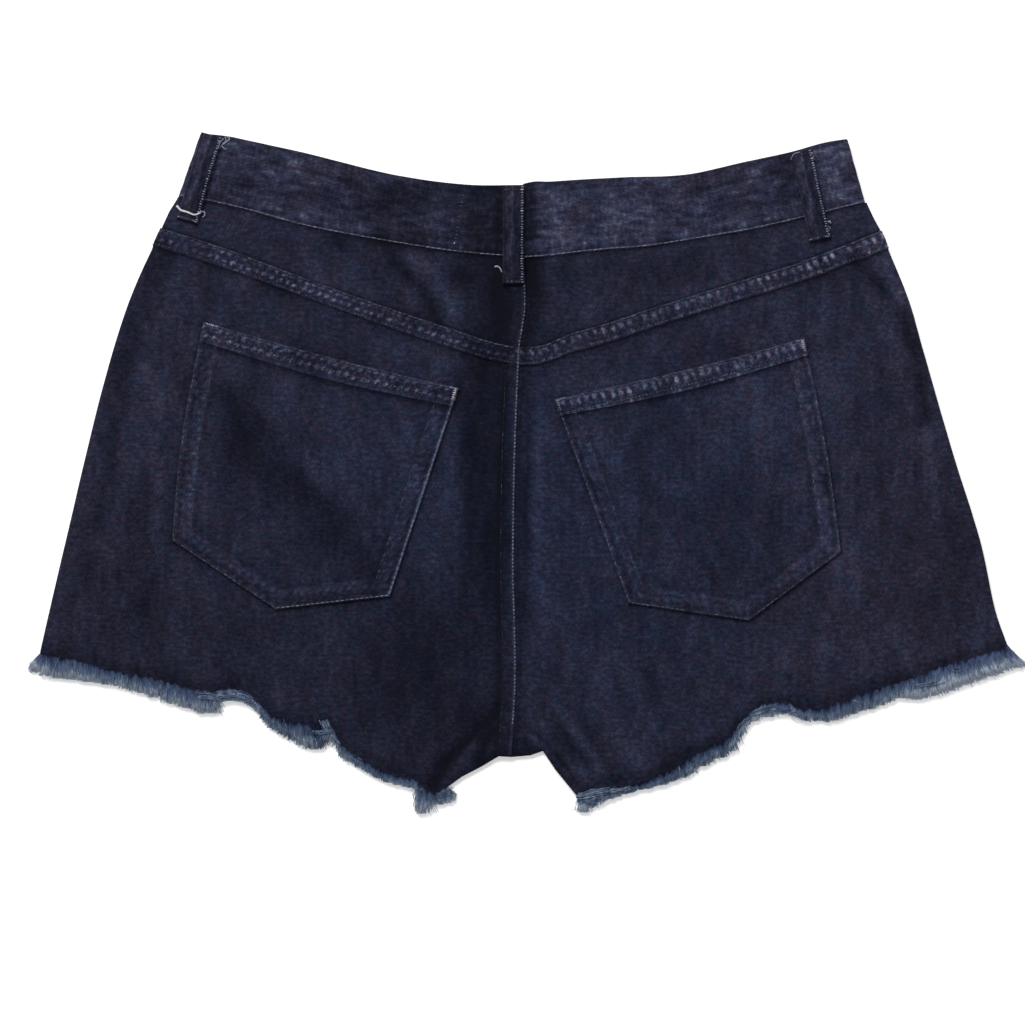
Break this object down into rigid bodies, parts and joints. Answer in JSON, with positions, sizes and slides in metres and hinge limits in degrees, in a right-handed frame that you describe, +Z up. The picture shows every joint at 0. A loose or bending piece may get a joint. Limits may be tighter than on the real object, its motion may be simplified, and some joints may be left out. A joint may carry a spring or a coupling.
{
  "type": "cut-off denim shorts laid flat",
  "caption": "Cut-off denim shorts lying flat, back up, with yokes, patch pockets, belt loops and frayed hems.",
  "frame": {"origin": "on the surface that the shorts lie on, under the middle of their outline", "axes": "+Z up out of the back of the shorts, +Y towards the waist, +X to the wearer's right"},
  "size_m": [0.5723, 0.3932, 0.0109],
  "materials": {
    "denim": "dark indigo cotton twill, matt, with a fine paler weft",
    "denim_waistband": "dark indigo cotton twill, slightly rubbed",
    "frayed_cotton": "loose cotton threads, pale to mid blue",
    "brass": "dull brass"
  },
  "bodies": {
    "root": {"back_panel_left": "denim", "back_panel_right": "denim", "back_yoke_left": "denim", "back_yoke_right": "denim", "back_pocket_left": "denim", "back_pocket_right": "denim", "waistband_left": "denim_waistband", "waistband_right": "denim_waistband", "belt_loop_back": "denim_waistband", "belt_loop_left": "denim_waistband", "belt_loop_right": "denim_waistband", "belt_loop_front_left": "denim_waistband", "belt_loop_front_right": "denim_waistband", "front_panel_left": "denim", "front_panel_right": "denim", "fly_shield": "denim", "waist_button": "brass", "fray_back_left": "frayed_cotton", "fray_back_right": "frayed_cotton", "fray_front_left": "frayed_cotton", "fray_front_right": "frayed_cotton"}
  },
  "joints": []
}
